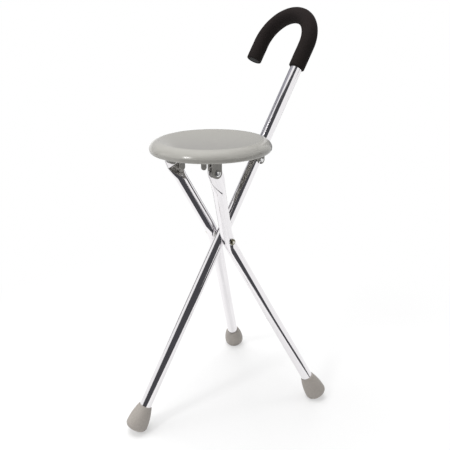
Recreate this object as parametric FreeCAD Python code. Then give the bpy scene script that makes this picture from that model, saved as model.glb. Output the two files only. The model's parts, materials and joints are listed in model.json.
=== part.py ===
import FreeCAD, Part
import math
import os
from FreeCAD import Vector

# Walking stick seat. A crook-handled stick is bolted between two bent legs, and a
# round moulded seat is hinged on the flattened tops of the legs. Under the seat a
# hook catch drops over a pin through the stick. Millimetres. X runs towards the
# side that the stick's handle leans to, Y runs across, Z is up. While it is
# modelled, the origin is on the floor under the seat's centre.

# Tubes
tube_diameter = 22.2
tube_wall = 1.5

# Where the three tubes cross
pivot_offset = 19.6
pivot_spacer_thickness = 1.2
stick_lean = 31.75
leg_lean = 22.4
leg_splay = 17.7
leg_bend_radius = 80.0

# The seat's hinge and its catch
hinge_drop = 21.5
hinge_reach = 158.6
hinge_span = 133.0
catch_inset = 3.6

# The stick above the pivot: where its grip starts, its crook and the crook's free arm
grip_reach = 347.9
crook_reach = 393.5
crook_width = 129.0
handle_arm_length = 37.1

# Foam grip
foam_thickness = 4.4
foam_edge = 2.2
plug_length = 16.0
plug_inset = 2.0

# Ferrules
ferrule_diameter = 40.5
ferrule_length = 47.0
ferrule_mouth_diameter = 26.0
ferrule_mouth_bevel = 1.0
ferrule_edge_radius = 9.0
ferrule_waist_share = 0.9
ferrule_floor = 9.0
ferrule_flat = 0.8
ferrule_washer_thickness = 1.5

# Flattened leg tops
tongue_thickness = 3.2
tongue_width = 28.0
flat_start = 13.0
flattening_length = 24.0
flattening_shares = (0, 0.35, 0.7, 1)
flat_side_share = 0.98

# Seat
seat_diameter = 216.0
seat_height = 507.5
seat_depth = 20.0
seat_dish = 3.7
seat_wall = 3.0
crest_inset = 18.684
crest_radius = 20.0
side_radius = 4.0
skirt_radius = 14.0
rib_thickness = 1.8
rib_count = 12
rib_start_radius = 8.0
rib_end_share = 0.95
rib_ring_shares = (0.3, 0.62)
rib_clearance = 1.0

# Brackets under the seat
plate_lift = 3.0
plate_thickness = 4.0
plate_corner_radius = 3.0
hinge_plate_length = 32.0
hinge_plate_inner_reach = 22.5
hinge_plate_outer_reach = 11.5
hinge_plate_screw_reach = 15.5
hinge_plate_screw_pitch = 18.0
catch_plate_length = 33.0
catch_plate_width = 52.0
catch_plate_setback = 5.4
catch_screw_margin = 7.0
catch_screw_pitch = 43.0
lug_radius = 9.0
cheek_thickness = 5.3
hinge_washer_thickness = 0.9
side_clearance = 0.1
hook_radius = 7.5
hook_thickness = 4.0
hook_shoulder = 8.0
hook_gap = 0.3
hook_opening_angle = 232.0
cheek_inset = 3.0
stick_side_clearance = 1.3
cradle_tab_width = 10.0
cradle_tab_thickness = 3.4
cradle_tab_drop = 30.0
cradle_clearance = 0.5
cradle_left_offset = 11.4
cradle_right_offset = 15.8
cradle_plate_width = 40.0
cradle_plate_margin = 7.5
saddle_length = 6.0
saddle_width = 20.0

# Bolts, screws and pins
dome_rim_share = 0.45
pivot_bolt_diameter = 6.0
pivot_head_diameter = 11.0
pivot_head_height = 3.6
pivot_washer_diameter = 12.6
pivot_washer_stand = 1.0
pivot_nut_width = 10.0
pivot_nut_height = 4.5
pivot_cap_share = 0.46
pivot_cap_height = 3.6
bush_wall = 1.2
hinge_screw_diameter = 5.0
hinge_head_diameter = 10.0
hinge_head_height = 3.4
hinge_nut_width = 8.0
hinge_nut_height = 5.0
hinge_screw_end = 1.0
recess_length = 5.2
recess_width = 1.0
recess_depth = 1.6
catch_pin_diameter = 6.0
catch_head_diameter = 8.0
catch_head_height = 1.4
catch_head_clearance = 0.8
plate_screw_diameter = 3.5
plate_head_diameter = 7.0
plate_head_height = 2.2
plate_screw_length = 7.5
boss_diameter = 9.0
running_clearance = 0.05

# How far joined shapes sink into each other, and how far a cutter runs past a face
overlap = 0.5
past = 1.0

# Worked out from the sizes above
tube_radius = tube_diameter / 2
bore_radius = tube_radius - tube_wall
seat_radius = seat_diameter / 2
tongue_y = hinge_span / 2
plate_bottom = seat_height + plate_lift
plate_top = plate_bottom + plate_thickness
across = Vector(0, 1, 0)
up = Vector(0, 0, 1)
lean = math.radians(stick_lean)
stick_way = Vector(math.sin(lean), 0, math.cos(lean))
leg_angle = math.radians(leg_lean)
leg_way = Vector(-math.sin(leg_angle), 0, math.cos(leg_angle))
splay = math.radians(leg_splay)
pivot_span = tube_diameter + pivot_spacer_thickness
pivot = Vector(pivot_offset, 0, seat_height - hinge_drop - hinge_reach * leg_way.z)
hinge_point = pivot + leg_way * hinge_reach
catch_reach = (seat_radius - catch_inset - pivot_offset) / stick_way.x
catch_point = pivot + stick_way * catch_reach
handle_end_reach = crook_reach - handle_arm_length
bolt_hole_radius = pivot_bolt_diameter / 2 + running_clearance
bush_outside = bolt_hole_radius + bush_wall
hinge_hole_radius = hinge_screw_diameter / 2 + running_clearance
sides = (-1, 1)


def cylinder(start, end, radius):
    return Part.makeCylinder(radius, (end - start).Length, start, end - start)


def ring(start, end, outer, inner):
    return cylinder(start, end, outer).cut(cylinder(start, end, inner))


def box(x0, x1, y0, y1, z0, z1):
    return Part.makeBox(x1 - x0, y1 - y0, z1 - z0, Vector(x0, y0, z0))


def line(a, b):
    return Part.LineSegment(a, b).toShape()


def arc(a, b, c):
    return Part.Arc(a, b, c).toShape()


def turned(edges, start, way):
    """A profile drawn in XZ, spun about Z, then stood on start with Z along way."""
    solid = Part.makeSolid(Part.Face(Part.Wire(edges)).revolve(Vector(), up, 360).Shells[0])
    solid.Placement = FreeCAD.Placement(start, FreeCAD.Rotation(up, way))
    return solid


def domed_head(start, way, radius, height):
    """A straight rim under a cap of a sphere."""
    rim = height * dome_rim_share
    cap = height - rim
    sphere = (radius ** 2 + cap ** 2) / (2 * cap)
    middle = math.asin(radius / sphere) / 2
    shoulder = Vector(sphere * math.sin(middle), 0, height - sphere + sphere * math.cos(middle))
    edges = [
        line(Vector(), Vector(radius, 0, 0)),
        line(Vector(radius, 0, 0), Vector(radius, 0, rim)),
        arc(Vector(radius, 0, rim), shoulder, Vector(0, 0, height)),
        line(Vector(0, 0, height), Vector()),
    ]
    return turned(edges, start, way)


def hexagon(start, way, width, height):
    corner = width / math.sqrt(3)
    points = []
    for step in range(7):
        turn = math.radians(60 * step)
        points.append(Vector(corner * math.cos(turn), corner * math.sin(turn), 0))
    solid = Part.Face(Part.makePolygon(points)).extrude(up * height)
    solid.Placement = FreeCAD.Placement(start, FreeCAD.Rotation(up, way))
    return solid


def swept(edges, radius):
    path = Part.Wire(edges)
    start = path.OrderedVertexes[0].Point
    way = path.OrderedEdges[0].tangentAt(path.OrderedEdges[0].FirstParameter)
    disc = Part.Face(Part.Wire(Part.Circle(start, way, radius).toShape()))
    return path.makePipe(disc)


# Ferrules. The rounded lower edge of a leaning ferrule is a torus, so its lowest
# point follows from the lean, and the tip is set so that the floor trims a flat.

ferrule_radius = ferrule_diameter / 2
ferrule_tip_radius = ferrule_radius - ferrule_edge_radius


def ferrule_tip(on_floor, way):
    lowest = ferrule_edge_radius * way.z - ferrule_tip_radius * math.sqrt(1 - way.z ** 2) - ferrule_edge_radius
    height = -ferrule_flat - lowest
    return on_floor + way * (height / way.z)


def ferrule(tip, way):
    waist = Vector(ferrule_radius * ferrule_waist_share, 0, ferrule_length / 2)
    mouth = Vector(ferrule_mouth_diameter / 2, 0, ferrule_length - ferrule_mouth_bevel)
    rim = Vector(mouth.x - ferrule_mouth_bevel, 0, ferrule_length)
    widest = Vector(ferrule_radius, 0, ferrule_edge_radius)
    half = ferrule_edge_radius * math.sqrt(0.5)
    bend = Vector(ferrule_tip_radius + half, 0, ferrule_edge_radius - half)
    socket = tube_radius
    edges = [
        line(Vector(), Vector(ferrule_tip_radius, 0, 0)),
        arc(Vector(ferrule_tip_radius, 0, 0), bend, widest),
        arc(widest, waist, mouth),
        line(mouth, rim),
        line(rim, Vector(socket, 0, ferrule_length)),
        line(Vector(socket, 0, ferrule_length), Vector(socket, 0, ferrule_floor)),
        line(Vector(socket, 0, ferrule_floor), Vector(0, 0, ferrule_floor)),
        line(Vector(0, 0, ferrule_floor), Vector()),
    ]
    solid = turned(edges, tip, way)
    reach = ferrule_diameter
    below = box(tip.x - reach, tip.x + reach, tip.y - reach, tip.y + reach, -reach, 0)
    return solid.cut(below)


def ferrule_washer(tip, way):
    bottom = tip + way * ferrule_floor
    return cylinder(bottom, bottom + way * ferrule_washer_thickness, bore_radius)


def tube_end(tip, way):
    return tip + way * ferrule_floor


# Legs, drawn for the left side and mirrored for the right one. A leg bends in the
# plane of its own lean: closest to the stick at the pivot bolt, apart above and below.


def leg_point(half_span, reach):
    return pivot + leg_way * reach + across * half_span


bend_side = leg_bend_radius * (1 - math.cos(splay))
bend_reach = leg_bend_radius * math.sin(splay)
upper_way = leg_way * math.cos(splay) + across * math.sin(splay)
lower_way = leg_way * math.cos(splay) - across * math.sin(splay)
bend_top = leg_point(pivot_span + bend_side, bend_reach)
bend_bottom = leg_point(pivot_span + bend_side, -bend_reach)
leg_floor = bend_bottom - lower_way * (bend_bottom.z / lower_way.z)
leg_tip = ferrule_tip(leg_floor, lower_way)
stick_floor = pivot - stick_way * (pivot.z / stick_way.z)
stick_tip = ferrule_tip(stick_floor, stick_way)

flat_reach = hinge_reach - flat_start
round_reach = flat_reach - flattening_length
round_span = pivot_span + bend_side + (round_reach - bend_reach) * math.tan(splay)


def flattening_section(share, inset):
    """The tube's section part of the way from round (0) to pressed flat (1)."""
    thickness = tube_radius + (tongue_thickness / 2 - tube_radius) * share - inset
    width = tube_radius + (tongue_width / 2 - tube_radius) * math.sin(share * math.pi / 2) - inset
    side_x = width * math.sqrt(0.5) + (width - thickness - width * math.sqrt(0.5)) * share
    side_y = thickness * (math.sqrt(0.5) + (flat_side_share - math.sqrt(0.5)) * share)
    normal = upper_way + (leg_way - upper_way) * share
    normal.normalize()
    wide = across.cross(normal).normalize()
    thin = normal.cross(wide).normalize()
    span = round_span + (tongue_y - round_span) * share
    centre = leg_point(span, round_reach + flattening_length * share)

    def at(x, y):
        return centre + wide * x + thin * y

    corners = [at(side_x, side_y), at(-side_x, side_y), at(-side_x, -side_y), at(side_x, -side_y)]
    middles = [at(0, thickness), at(-width, 0), at(0, -thickness), at(width, 0)]
    edges = [arc(corners[i], middles[i], corners[(i + 1) % 4]) for i in range(4)]
    return Part.Wire(edges)


def leg_tube():
    end = tube_end(leg_tip, lower_way)
    round_top = leg_point(round_span, round_reach)
    nearest = leg_point(pivot_span, 0)
    path = [line(end, bend_bottom), arc(bend_bottom, nearest, bend_top), line(bend_top, round_top)]
    outside = swept(path, tube_radius)
    inside = swept(path, bore_radius)
    flattening = Part.makeLoft([flattening_section(share, 0) for share in flattening_shares], True)
    hollow = Part.makeLoft([flattening_section(share, tube_wall) for share in flattening_shares[:-1]], True)
    half = across * (tongue_thickness / 2)
    centre = leg_point(tongue_y, hinge_reach)
    wide = across.cross(leg_way).normalize() * (tongue_width / 2)
    foot = leg_point(tongue_y, flat_reach - overlap)
    corners = [foot - wide - half, foot + wide - half, centre + wide - half, centre - wide - half]
    blade = Part.Face(Part.makePolygon(corners + corners[:1])).extrude(half * 2)
    blade = blade.fuse(cylinder(centre - half, centre + half, tongue_width / 2))
    tube = outside.fuse([flattening, blade]).cut([inside, hollow])
    reach = across * (pivot_span + tube_diameter)
    bolt_hole = cylinder(pivot - reach, pivot + reach, bolt_hole_radius)
    screw_hole = cylinder(centre - half * 2, centre + half * 2, hinge_hole_radius)
    return tube.cut([bolt_hole, screw_hole]).removeSplitter()


# The pivot stack, from the stick outwards: a spacer saddled on the leg, the leg, and
# an outer washer saddled on the leg.

spacer_inside = tube_radius + side_clearance
leg_outside = pivot_span + tube_radius
stack_outside = leg_outside + pivot_washer_stand


def leg_envelope():
    reach = pivot_washer_diameter * 2
    nearest = leg_point(pivot_span, 0)
    path = [
        line(bend_bottom - lower_way * reach, bend_bottom),
        arc(bend_bottom, nearest, bend_top),
        line(bend_top, bend_top + upper_way * reach),
    ]
    return swept(path, tube_radius)


def pivot_ring(start, end):
    solid = ring(pivot + across * start, pivot + across * end, pivot_washer_diameter / 2, bolt_hole_radius)
    return solid.cut(leg_envelope())


def pivot_spacer():
    return pivot_ring(spacer_inside, pivot_span).Solids[0]


def pivot_washer():
    return pivot_ring(pivot_span, stack_outside).Solids[-1]


def pivot_bolt():
    head = pivot - across * stack_outside
    end = pivot + across * (stack_outside + pivot_nut_height)
    return cylinder(head, end, pivot_bolt_diameter / 2).fuse(
        domed_head(head, -across, pivot_head_diameter / 2, pivot_head_height)).removeSplitter()


def pivot_nut():
    start = pivot + across * stack_outside
    body = hexagon(start, across, pivot_nut_width, pivot_nut_height)
    cap_start = start + across * pivot_nut_height
    cap = domed_head(cap_start, across, pivot_nut_width * pivot_cap_share, pivot_cap_height)
    bolt = cylinder(start, cap_start, pivot_bolt_diameter / 2)
    return body.fuse(cap).cut(bolt).removeSplitter()


# Stick. The crook bends in the plane of the stick and the Y axis.


def stick_point(reach, side):
    return pivot + stick_way * reach + across * side


def crook_path(start):
    radius = crook_width / 2
    return [
        line(start, stick_point(crook_reach, 0)),
        arc(stick_point(crook_reach, 0), stick_point(crook_reach + radius, radius),
            stick_point(crook_reach, crook_width)),
        line(stick_point(crook_reach, crook_width), stick_point(handle_end_reach, crook_width)),
    ]


def stick_tube():
    path = crook_path(tube_end(stick_tip, stick_way))
    tube = swept(path, tube_radius).cut(swept(path, bore_radius))
    reach = across * tube_diameter
    bush_hole = cylinder(pivot - reach, pivot + reach, bush_outside)
    pin_hole = cylinder(catch_point - reach, catch_point + reach, catch_pin_diameter / 2)
    return tube.cut([bush_hole, pin_hole])


def pivot_bush():
    half = across * tube_radius
    return ring(pivot - half, pivot + half, bush_outside, bolt_hole_radius)


def foam_grip():
    path = crook_path(stick_point(grip_reach, 0))
    foam = swept(path, tube_radius + foam_thickness)
    rims = []
    for edge in foam.Edges:
        if len(edge.Vertexes) != 1 or not isinstance(edge.Curve, Part.Circle):
            continue
        centre = edge.Curve.Center
        ends = (stick_point(grip_reach, 0), stick_point(handle_end_reach, crook_width))
        if min((centre - end).Length for end in ends) < 0.01:
            rims.append(edge)
    foam = foam.makeFillet(foam_edge, rims)
    return foam.cut(swept(path, tube_radius))


def handle_end_plug():
    end = stick_point(handle_end_reach + plug_inset, crook_width)
    return cylinder(end, end + stick_way * plug_length, bore_radius)


def catch_pin():
    half = across * (tube_radius + stick_side_clearance + hook_thickness + catch_head_clearance)
    shank = cylinder(catch_point - half, catch_point + half, catch_pin_diameter / 2)
    heads = []
    for way in (across, -across):
        start = catch_point + way * half.Length
        heads.append(domed_head(start, way, catch_head_diameter / 2, catch_head_height))
    return shank.fuse(heads).removeSplitter()


# Seat


# The top is a shallow dish inside a raised crest, and the side rolls over from the
# crest to the lower edge. Each stretch is an arc that meets the next one smoothly.

crest_place = seat_radius - crest_inset
crest_top = seat_height + seat_depth
dish_and_crest = (crest_place ** 2 + seat_dish ** 2) / (2 * seat_dish)
side_rise = math.sqrt((crest_radius - side_radius) ** 2 - (seat_radius - side_radius - crest_place) ** 2)
widest_height = crest_top - crest_radius + side_rise


def arc_about(centre, radius, first, last):
    points = []
    for turn in (first, (first + last) / 2, last):
        points.append(centre + Vector(math.cos(turn), 0, math.sin(turn)) * radius)
    return arc(*points)


def spun_seat(wall, bottom):
    """The seat's outside when wall is 0, or the hollow under a wall of that thickness."""
    dish_radius = dish_and_crest - crest_radius
    dish_centre = Vector(0, 0, crest_top - seat_dish + dish_radius)
    crest_centre = Vector(crest_place, 0, crest_top - crest_radius)
    side_centre = Vector(seat_radius - side_radius, 0, widest_height)
    skirt_centre = Vector(seat_radius - skirt_radius, 0, widest_height)
    tilt = math.asin(crest_place / dish_and_crest)
    roll = math.atan2(side_centre.z - crest_centre.z, side_centre.x - crest_centre.x)
    tuck = -math.asin((widest_height - seat_height) / (skirt_radius - wall))
    edges = [
        arc_about(dish_centre, dish_radius + wall, -math.pi / 2, -math.pi / 2 + tilt),
        arc_about(crest_centre, crest_radius - wall, math.pi / 2 + tilt, roll),
        arc_about(side_centre, side_radius - wall, roll, 0),
        arc_about(skirt_centre, skirt_radius - wall, 0, tuck),
    ]
    top = Vector(0, 0, dish_centre.z - dish_radius - wall)
    edge = skirt_centre + Vector(math.cos(tuck), 0, math.sin(tuck)) * (skirt_radius - wall)
    low_edge = Vector(edge.x, 0, bottom)
    low_centre = Vector(0, 0, bottom)
    if bottom < seat_height:
        edges.append(line(edge, low_edge))
    edges += [line(low_edge, low_centre), line(low_centre, top)]
    return Part.makeSolid(Part.Face(Part.Wire(edges)).revolve(Vector(), up, 360).Shells[0])


def plate_screw_places():
    half = hinge_plate_screw_pitch / 2
    places = [(hinge_point.x + dx, side * plate_screw_y) for side in sides for dx in (-half, half)]
    places += [(x, side * catch_screw_y) for x in catch_screw_x for side in sides]
    places += [(cradle_right, cradle_tab_y), (cradle_left, -cradle_tab_y)]
    return places


hinge_plate_half = hinge_plate_length / 2
hinge_plate_inside = tongue_y - hinge_plate_inner_reach
hinge_plate_outside = tongue_y + hinge_plate_outer_reach
plate_screw_y = tongue_y - hinge_plate_screw_reach
catch_plate_end = catch_point.x - catch_plate_setback
catch_plate_start = catch_plate_end - catch_plate_length
catch_plate_half = catch_plate_width / 2
catch_screw_x = (catch_plate_start + catch_screw_margin, catch_plate_end - catch_screw_margin)
catch_screw_y = catch_screw_pitch / 2
cradle_left = hinge_point.x - cradle_left_offset
cradle_right = hinge_point.x + cradle_right_offset
cradle_tab_y = tube_radius + cradle_clearance + cradle_tab_thickness / 2
cradle_plate_half = cradle_plate_width / 2


def plate(x0, x1, y0, y1):
    solid = box(x0, x1, y0, y1, plate_bottom, plate_top)
    corners = [edge for edge in solid.Edges if abs(edge.tangentAt(0).z) > 0.9]
    return solid.makeFillet(plate_corner_radius, corners)


def hinge_plate(side):
    ends = sorted((side * hinge_plate_inside, side * hinge_plate_outside))
    return plate(hinge_point.x - hinge_plate_half, hinge_point.x + hinge_plate_half, ends[0], ends[1])


def catch_plate():
    return plate(catch_plate_start, catch_plate_end, -catch_plate_half, catch_plate_half)


def cradle_plate():
    low = cradle_left - cradle_plate_margin
    high = cradle_right + cradle_plate_margin
    return plate(low, high, -cradle_plate_half, cradle_plate_half)


def seat_shell():
    outside = spun_seat(0, seat_height)
    inside = spun_seat(seat_wall, seat_height - past)
    floor = plate_bottom
    top = seat_height + seat_depth
    ribs = []
    for share in rib_ring_shares:
        radius = seat_radius * share
        ribs.append(ring(Vector(0, 0, floor), Vector(0, 0, top), radius + rib_thickness, radius))
    for step in range(rib_count):
        half = rib_thickness / 2
        blade = box(rib_start_radius, seat_radius * rib_end_share, -half, half, floor, top)
        blade.rotate(Vector(), up, (step + 0.5) * 360 / rib_count)
        ribs.append(blade)
    web = ribs[0].fuse(ribs[1:])
    for cover in (hinge_plate(1), hinge_plate(-1), catch_plate(), cradle_plate()):
        edge = cover.BoundBox
        edge.enlarge(rib_clearance)
        web = web.cut(box(edge.XMin, edge.XMax, edge.YMin, edge.YMax, edge.ZMin, plate_top + side_clearance))
    bosses = []
    holes = []
    for x, y in plate_screw_places():
        bosses.append(cylinder(Vector(x, y, plate_top), Vector(x, y, top), boss_diameter / 2))
        tip = plate_bottom + plate_screw_length
        holes.append(cylinder(Vector(x, y, floor - past), Vector(x, y, tip), plate_screw_diameter / 2))
    inserts = web.fuse(bosses).common(outside)
    return outside.cut(inside).fuse(inserts).cut(holes).removeSplitter()


def lug(centre, radius, y0, y1):
    """A straight-sided lug hanging from the plates to a round end about centre."""
    low, high = min(y0, y1), max(y0, y1)
    body = box(centre.x - radius, centre.x + radius, low, high, centre.z, plate_bottom + overlap)
    end = cylinder(Vector(centre.x, low, centre.z), Vector(centre.x, high, centre.z), radius)
    return body.fuse(end)


def plate_holes(solid):
    holes = []
    for x, y in plate_screw_places():
        low = Vector(x, y, plate_bottom - past)
        holes.append(cylinder(low, Vector(x, y, plate_top + past), plate_screw_diameter / 2))
    return solid.cut(holes)


lug_gap = tongue_thickness / 2 + hinge_washer_thickness + side_clearance
lug_outside = tongue_y + lug_gap + cheek_thickness
lug_inside = tongue_y - lug_gap - cheek_thickness


def hinge_bracket(side):
    outer = lug(hinge_point, lug_radius, side * (tongue_y + lug_gap), side * lug_outside)
    inner = lug(hinge_point, lug_radius, side * (tongue_y - lug_gap), side * lug_inside)
    bracket = hinge_plate(side).fuse([outer, inner])
    low = Vector(hinge_point.x, -seat_radius, hinge_point.z)
    high = Vector(hinge_point.x, seat_radius, hinge_point.z)
    bracket = bracket.cut(cylinder(low, high, hinge_screw_diameter / 2))
    return plate_holes(bracket).removeSplitter()


def stick_catch():
    """Two hooked cheeks either side of the stick, open the way the pin leaves them."""
    inside = tube_radius + stick_side_clearance
    turn = math.radians(hook_opening_angle)
    mouth = Vector(math.cos(turn), 0, math.sin(turn)) * (hook_radius * 2)
    slot_half = Vector(-math.sin(turn), 0, math.cos(turn)) * (catch_pin_diameter / 2 + hook_gap)
    body = catch_plate()
    for side in sides:
        low, high = sorted((side * inside, side * (inside + hook_thickness)))
        corners = [
            Vector(catch_plate_start + cheek_inset, low, plate_bottom + overlap),
            Vector(catch_plate_end, low, plate_bottom + overlap),
            Vector(catch_plate_end, low, plate_bottom),
            Vector(catch_point.x + hook_radius, low, catch_point.z + hook_shoulder),
            Vector(catch_point.x + hook_radius, low, catch_point.z),
            Vector(catch_point.x - hook_radius, low, catch_point.z),
            Vector(catch_plate_start + cheek_inset, low, plate_bottom),
        ]
        depth = Vector(0, high - low, 0)
        cheek = Part.Face(Part.makePolygon(corners + corners[:1])).extrude(depth)
        start = Vector(catch_point.x, low, catch_point.z)
        body = body.fuse([cheek, cylinder(start, start + depth, hook_radius)])
    start = catch_point - across * seat_radius
    depth = across * seat_diameter
    sweep = [start + slot_half, start + slot_half + mouth, start - slot_half + mouth, start - slot_half]
    slot = Part.Face(Part.makePolygon(sweep + sweep[:1])).extrude(depth)
    end = cylinder(start, start + depth, catch_pin_diameter / 2 + hook_gap)
    return plate_holes(body.cut([slot, end])).removeSplitter()


def stick_cradle():
    """Staggered tabs and a saddle that the folded stick lies in."""
    body = cradle_plate()
    inside = tube_radius + cradle_clearance
    half = cradle_tab_width / 2
    round_end = seat_height - cradle_tab_drop + half
    for x, side in ((cradle_left, 1), (cradle_right, -1)):
        low, high = sorted((side * inside, side * (inside + cradle_tab_thickness)))
        leg = box(x - half, x + half, low, high, round_end, plate_bottom + overlap)
        tip = cylinder(Vector(x, low, round_end), Vector(x, high, round_end), half)
        body = body.fuse([leg, tip])
    low = (cradle_left + cradle_right - saddle_length) / 2
    rest = hinge_point.z + tube_radius + cradle_clearance
    side = saddle_width / 2
    saddle = box(low, low + saddle_length, -side, side, rest, plate_bottom + overlap)
    return plate_holes(body.fuse(saddle)).removeSplitter()


# Fasteners under the seat


def hinge_stack(side):
    """Where the hinge screw's head and nut bear, outside and inside the bracket."""
    head = Vector(hinge_point.x, side * lug_outside, hinge_point.z)
    nut = Vector(hinge_point.x, side * lug_inside, hinge_point.z)
    return head, nut, across * side


def hinge_screw(side):
    head, nut, out = hinge_stack(side)
    tip = nut - out * (hinge_nut_height + hinge_screw_end)
    shank = cylinder(tip, head, hinge_screw_diameter / 2)
    screw = shank.fuse(domed_head(head, out, hinge_head_diameter / 2, hinge_head_height))
    top = head + out * hinge_head_height
    long, short, deep = recess_length / 2, recess_width / 2, recess_depth
    for dx, dz in ((long, short), (short, long)):
        recess = box(top.x - dx, top.x + dx, top.y - deep, top.y + deep, top.z - dz, top.z + dz)
        screw = screw.cut(recess)
    return screw


def hinge_nut(side):
    head, nut, out = hinge_stack(side)
    body = hexagon(nut, -out, hinge_nut_width, hinge_nut_height)
    return body.cut(cylinder(nut, nut - out * hinge_nut_height, hinge_screw_diameter / 2))


def hinge_washers():
    washers = []
    for side in sides:
        for way in (-1, 1):
            face = side * tongue_y + way * lug_gap
            start = Vector(hinge_point.x, face, hinge_point.z)
            end = start - across * (way * hinge_washer_thickness)
            washers.append(ring(start, end, lug_radius, hinge_hole_radius))
    return Part.makeCompound(washers)


def plate_screws():
    screws = []
    for x, y in plate_screw_places():
        face = Vector(x, y, plate_bottom)
        shank = cylinder(face, face + up * plate_screw_length, plate_screw_diameter / 2)
        head = domed_head(face, -up, plate_head_diameter / 2, plate_head_height)
        screws.append(shank.fuse(head).removeSplitter())
    return Part.makeCompound(screws)


def mirrored(shape):
    return shape.mirror(Vector(), across)


def pair(shape):
    return Part.makeCompound([mirrored(shape), shape])


def build():
    left_leg = leg_tube()
    left_ferrule = ferrule(leg_tip, lower_way)
    nodes = {
        "right_leg_tube": mirrored(left_leg),
        "left_leg_tube": left_leg,
        "right_leg_ferrule": mirrored(left_ferrule),
        "left_leg_ferrule": left_ferrule,
        "leg_ferrule_washers": pair(ferrule_washer(leg_tip, lower_way)),
        "pivot_bolt": pivot_bolt(),
        "pivot_cap_nut": pivot_nut(),
        "pivot_outer_washers": pair(pivot_washer()),
        "pivot_spacers": pair(pivot_spacer()),
        "stick_tube": stick_tube(),
        "stick_pivot_bush": pivot_bush(),
        "foam_grip": foam_grip(),
        "handle_end_plug": handle_end_plug(),
        "stick_ferrule": ferrule(stick_tip, stick_way),
        "stick_ferrule_washer": ferrule_washer(stick_tip, stick_way),
        "catch_pin": catch_pin(),
        "seat_shell": seat_shell(),
        "right_hinge_bracket": hinge_bracket(-1),
        "left_hinge_bracket": hinge_bracket(1),
        "stick_catch": stick_catch(),
        "stick_cradle": stick_cradle(),
        "hinge_screws": Part.makeCompound([hinge_screw(side) for side in sides]),
        "hinge_nuts": Part.makeCompound([hinge_nut(side) for side in sides]),
        "hinge_washers": hinge_washers(),
        "bracket_screws": plate_screws(),
    }
    return nodes


def box_middle(nodes):
    """How far the overall box's middle lies from the seat's centre."""
    low = Vector(1e9, 1e9, 1e9)
    high = Vector(-1e9, -1e9, -1e9)
    for shape in nodes.values():
        for point in shape.tessellate(0.1)[0]:
            low = Vector(min(low.x, point.x), min(low.y, point.y), min(low.z, point.z))
            high = Vector(max(high.x, point.x), max(high.y, point.y), max(high.z, point.z))
    return Vector((low.x + high.x) / 2, (low.y + high.y) / 2, low.z)


nodes = build()
middle = box_middle(nodes)
os.makedirs("parts", exist_ok=True)
for name, shape in nodes.items():
    placed = shape.copy()
    placed.translate(-middle)
    placed.exportStep(os.path.join("parts", name + ".step"))
    print(name, len(placed.Solids), round(placed.Volume, 1), placed.isValid())
for name, point in (("middle", middle), ("pivot", pivot - middle), ("hinge", hinge_point - middle)):
    print(name, round(point.x, 3), round(point.y, 3), round(point.z, 3))
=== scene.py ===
import json
import math

import bmesh
import bpy
from mathutils import Matrix, Vector, noise


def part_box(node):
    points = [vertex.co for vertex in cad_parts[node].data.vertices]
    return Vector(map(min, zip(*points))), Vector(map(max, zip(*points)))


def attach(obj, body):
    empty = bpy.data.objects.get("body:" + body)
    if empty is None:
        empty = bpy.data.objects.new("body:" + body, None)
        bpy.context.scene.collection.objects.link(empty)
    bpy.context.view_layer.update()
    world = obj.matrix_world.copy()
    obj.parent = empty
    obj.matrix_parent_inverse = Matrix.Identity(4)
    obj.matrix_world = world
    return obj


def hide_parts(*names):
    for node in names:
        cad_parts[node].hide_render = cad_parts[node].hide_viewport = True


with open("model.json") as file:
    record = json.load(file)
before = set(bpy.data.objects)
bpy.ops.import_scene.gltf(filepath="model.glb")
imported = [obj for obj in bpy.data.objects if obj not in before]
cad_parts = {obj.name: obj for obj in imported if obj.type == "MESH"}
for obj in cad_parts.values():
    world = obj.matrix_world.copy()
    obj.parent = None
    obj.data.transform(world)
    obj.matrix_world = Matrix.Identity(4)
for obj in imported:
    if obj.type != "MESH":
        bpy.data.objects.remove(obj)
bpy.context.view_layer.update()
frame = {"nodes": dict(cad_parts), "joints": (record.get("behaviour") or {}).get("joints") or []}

scene = bpy.context.scene
scene.view_settings.view_transform = "Standard"

# Lengths are metres and angles are degrees. Both hinge axes lie along Y.
joints = {joint["name"]: joint for joint in frame["joints"]}
pivot = Vector(joints["stick_fold"]["pos_m"])
hinge = Vector(joints["seat_fold"]["pos_m"])
across = Vector((0, 1, 0))
upward = Vector((0, 0, 1))
tiny = 1e-6  # points closer than this are one point

tube = {
    "radius": 0.0111,
    "sideCount": 64,
}


def leaning(degrees):
    angle = math.radians(degrees)
    return Vector((math.sin(angle), 0, math.cos(angle)))


def inScene(name, data):
    piece = bpy.data.objects.new(name, data)
    scene.collection.objects.link(piece)
    return piece


def finished(name, mesh, material, body, slotName, *stoodFor):
    # a new piece in its place, riding on its body and standing for its nodes
    piece = inScene(name, mesh)
    mesh.materials.clear()
    mesh.materials.append(material)
    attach(piece, body)
    if stoodFor:
        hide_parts(*stoodFor)
    return piece


def plainMesh(name, bm):
    mesh = bpy.data.meshes.new(name)
    bm.to_mesh(mesh)
    bm.free()
    return mesh


def outwardMesh(name, bm):
    bmesh.ops.recalc_face_normals(bm, faces=bm.faces)
    return plainMesh(name, bm)


def bakedMesh(holder):
    # the holder's mesh with its modifiers applied; the holder itself goes
    mesh = bpy.data.meshes.new_from_object(holder.evaluated_get(bpy.context.evaluated_depsgraph_get()))
    bpy.data.objects.remove(holder)
    return mesh


def mergedCopy(nodeName):
    # a CAD node's loose triangles, joined where their corners meet
    bm = bmesh.new()
    bm.from_mesh(frame["nodes"][nodeName].data)
    bmesh.ops.remove_doubles(bm, verts=bm.verts, dist=tiny)
    return bm


def alongArc(first, last, count):
    # evenly spaced angles, both ends included
    return [first + (last - first) * step / count for step in range(count + 1)]


def roundAngles(count):
    # evenly spaced angles once round, the start not repeated
    return [2 * math.pi * step / count for step in range(count)]


# Meshes made of rings

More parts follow.
